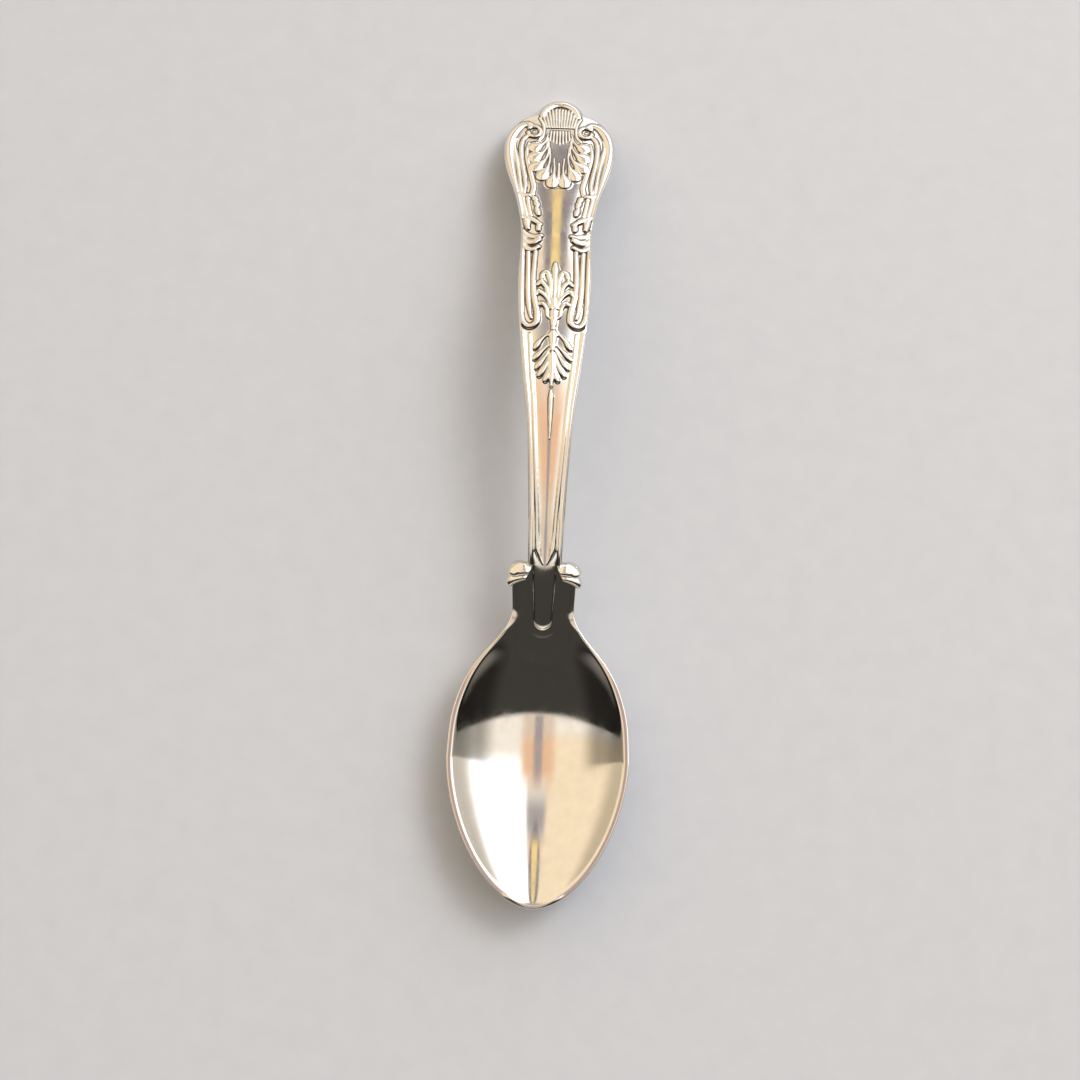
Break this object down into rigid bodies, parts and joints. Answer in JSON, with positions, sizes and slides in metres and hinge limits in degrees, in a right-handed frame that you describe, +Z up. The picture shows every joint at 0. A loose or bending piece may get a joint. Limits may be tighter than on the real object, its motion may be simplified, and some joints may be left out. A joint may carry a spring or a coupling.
{
  "type": "teaspoon",
  "caption": "Teaspoon with an oval bowl, a squared neck with rolled shoulders, and an arched, flared handle struck with a shell, volutes, reed threads and palm leaves",
  "frame": {"origin": "centre of the bounding box in X and Y, on the plane that the spoon lies on", "axes": "+Z up out of the bowl, +Y along the spoon from the tip of the bowl to the end of the handle, +X to the right of a person who looks from the bowl towards the handle"},
  "size_m": [0.0294, 0.137, 0.0167],
  "materials": {
    "polished_metal": "mirror-polished stainless steel",
    "struck_relief": "die-struck relief of the same metal, buffed, a little darker in its grooves"
  },
  "bodies": {
    "root": {"bowl": "polished_metal", "drop": "polished_metal", "neck": "polished_metal", "neck_ridge": "polished_metal", "shoulder_curls": "polished_metal", "stem": "polished_metal", "handle_end": "polished_metal", "shell": "struck_relief", "scroll_borders": "struck_relief", "ribbon_bands": "struck_relief", "upper_anthemion": "struck_relief", "lower_anthemion": "struck_relief", "bead_drop": "struck_relief", "stem_threads": "struck_relief", "back_shell": "struck_relief", "back_borders": "struck_relief", "back_stem_threads": "struck_relief"}
  },
  "joints": []
}
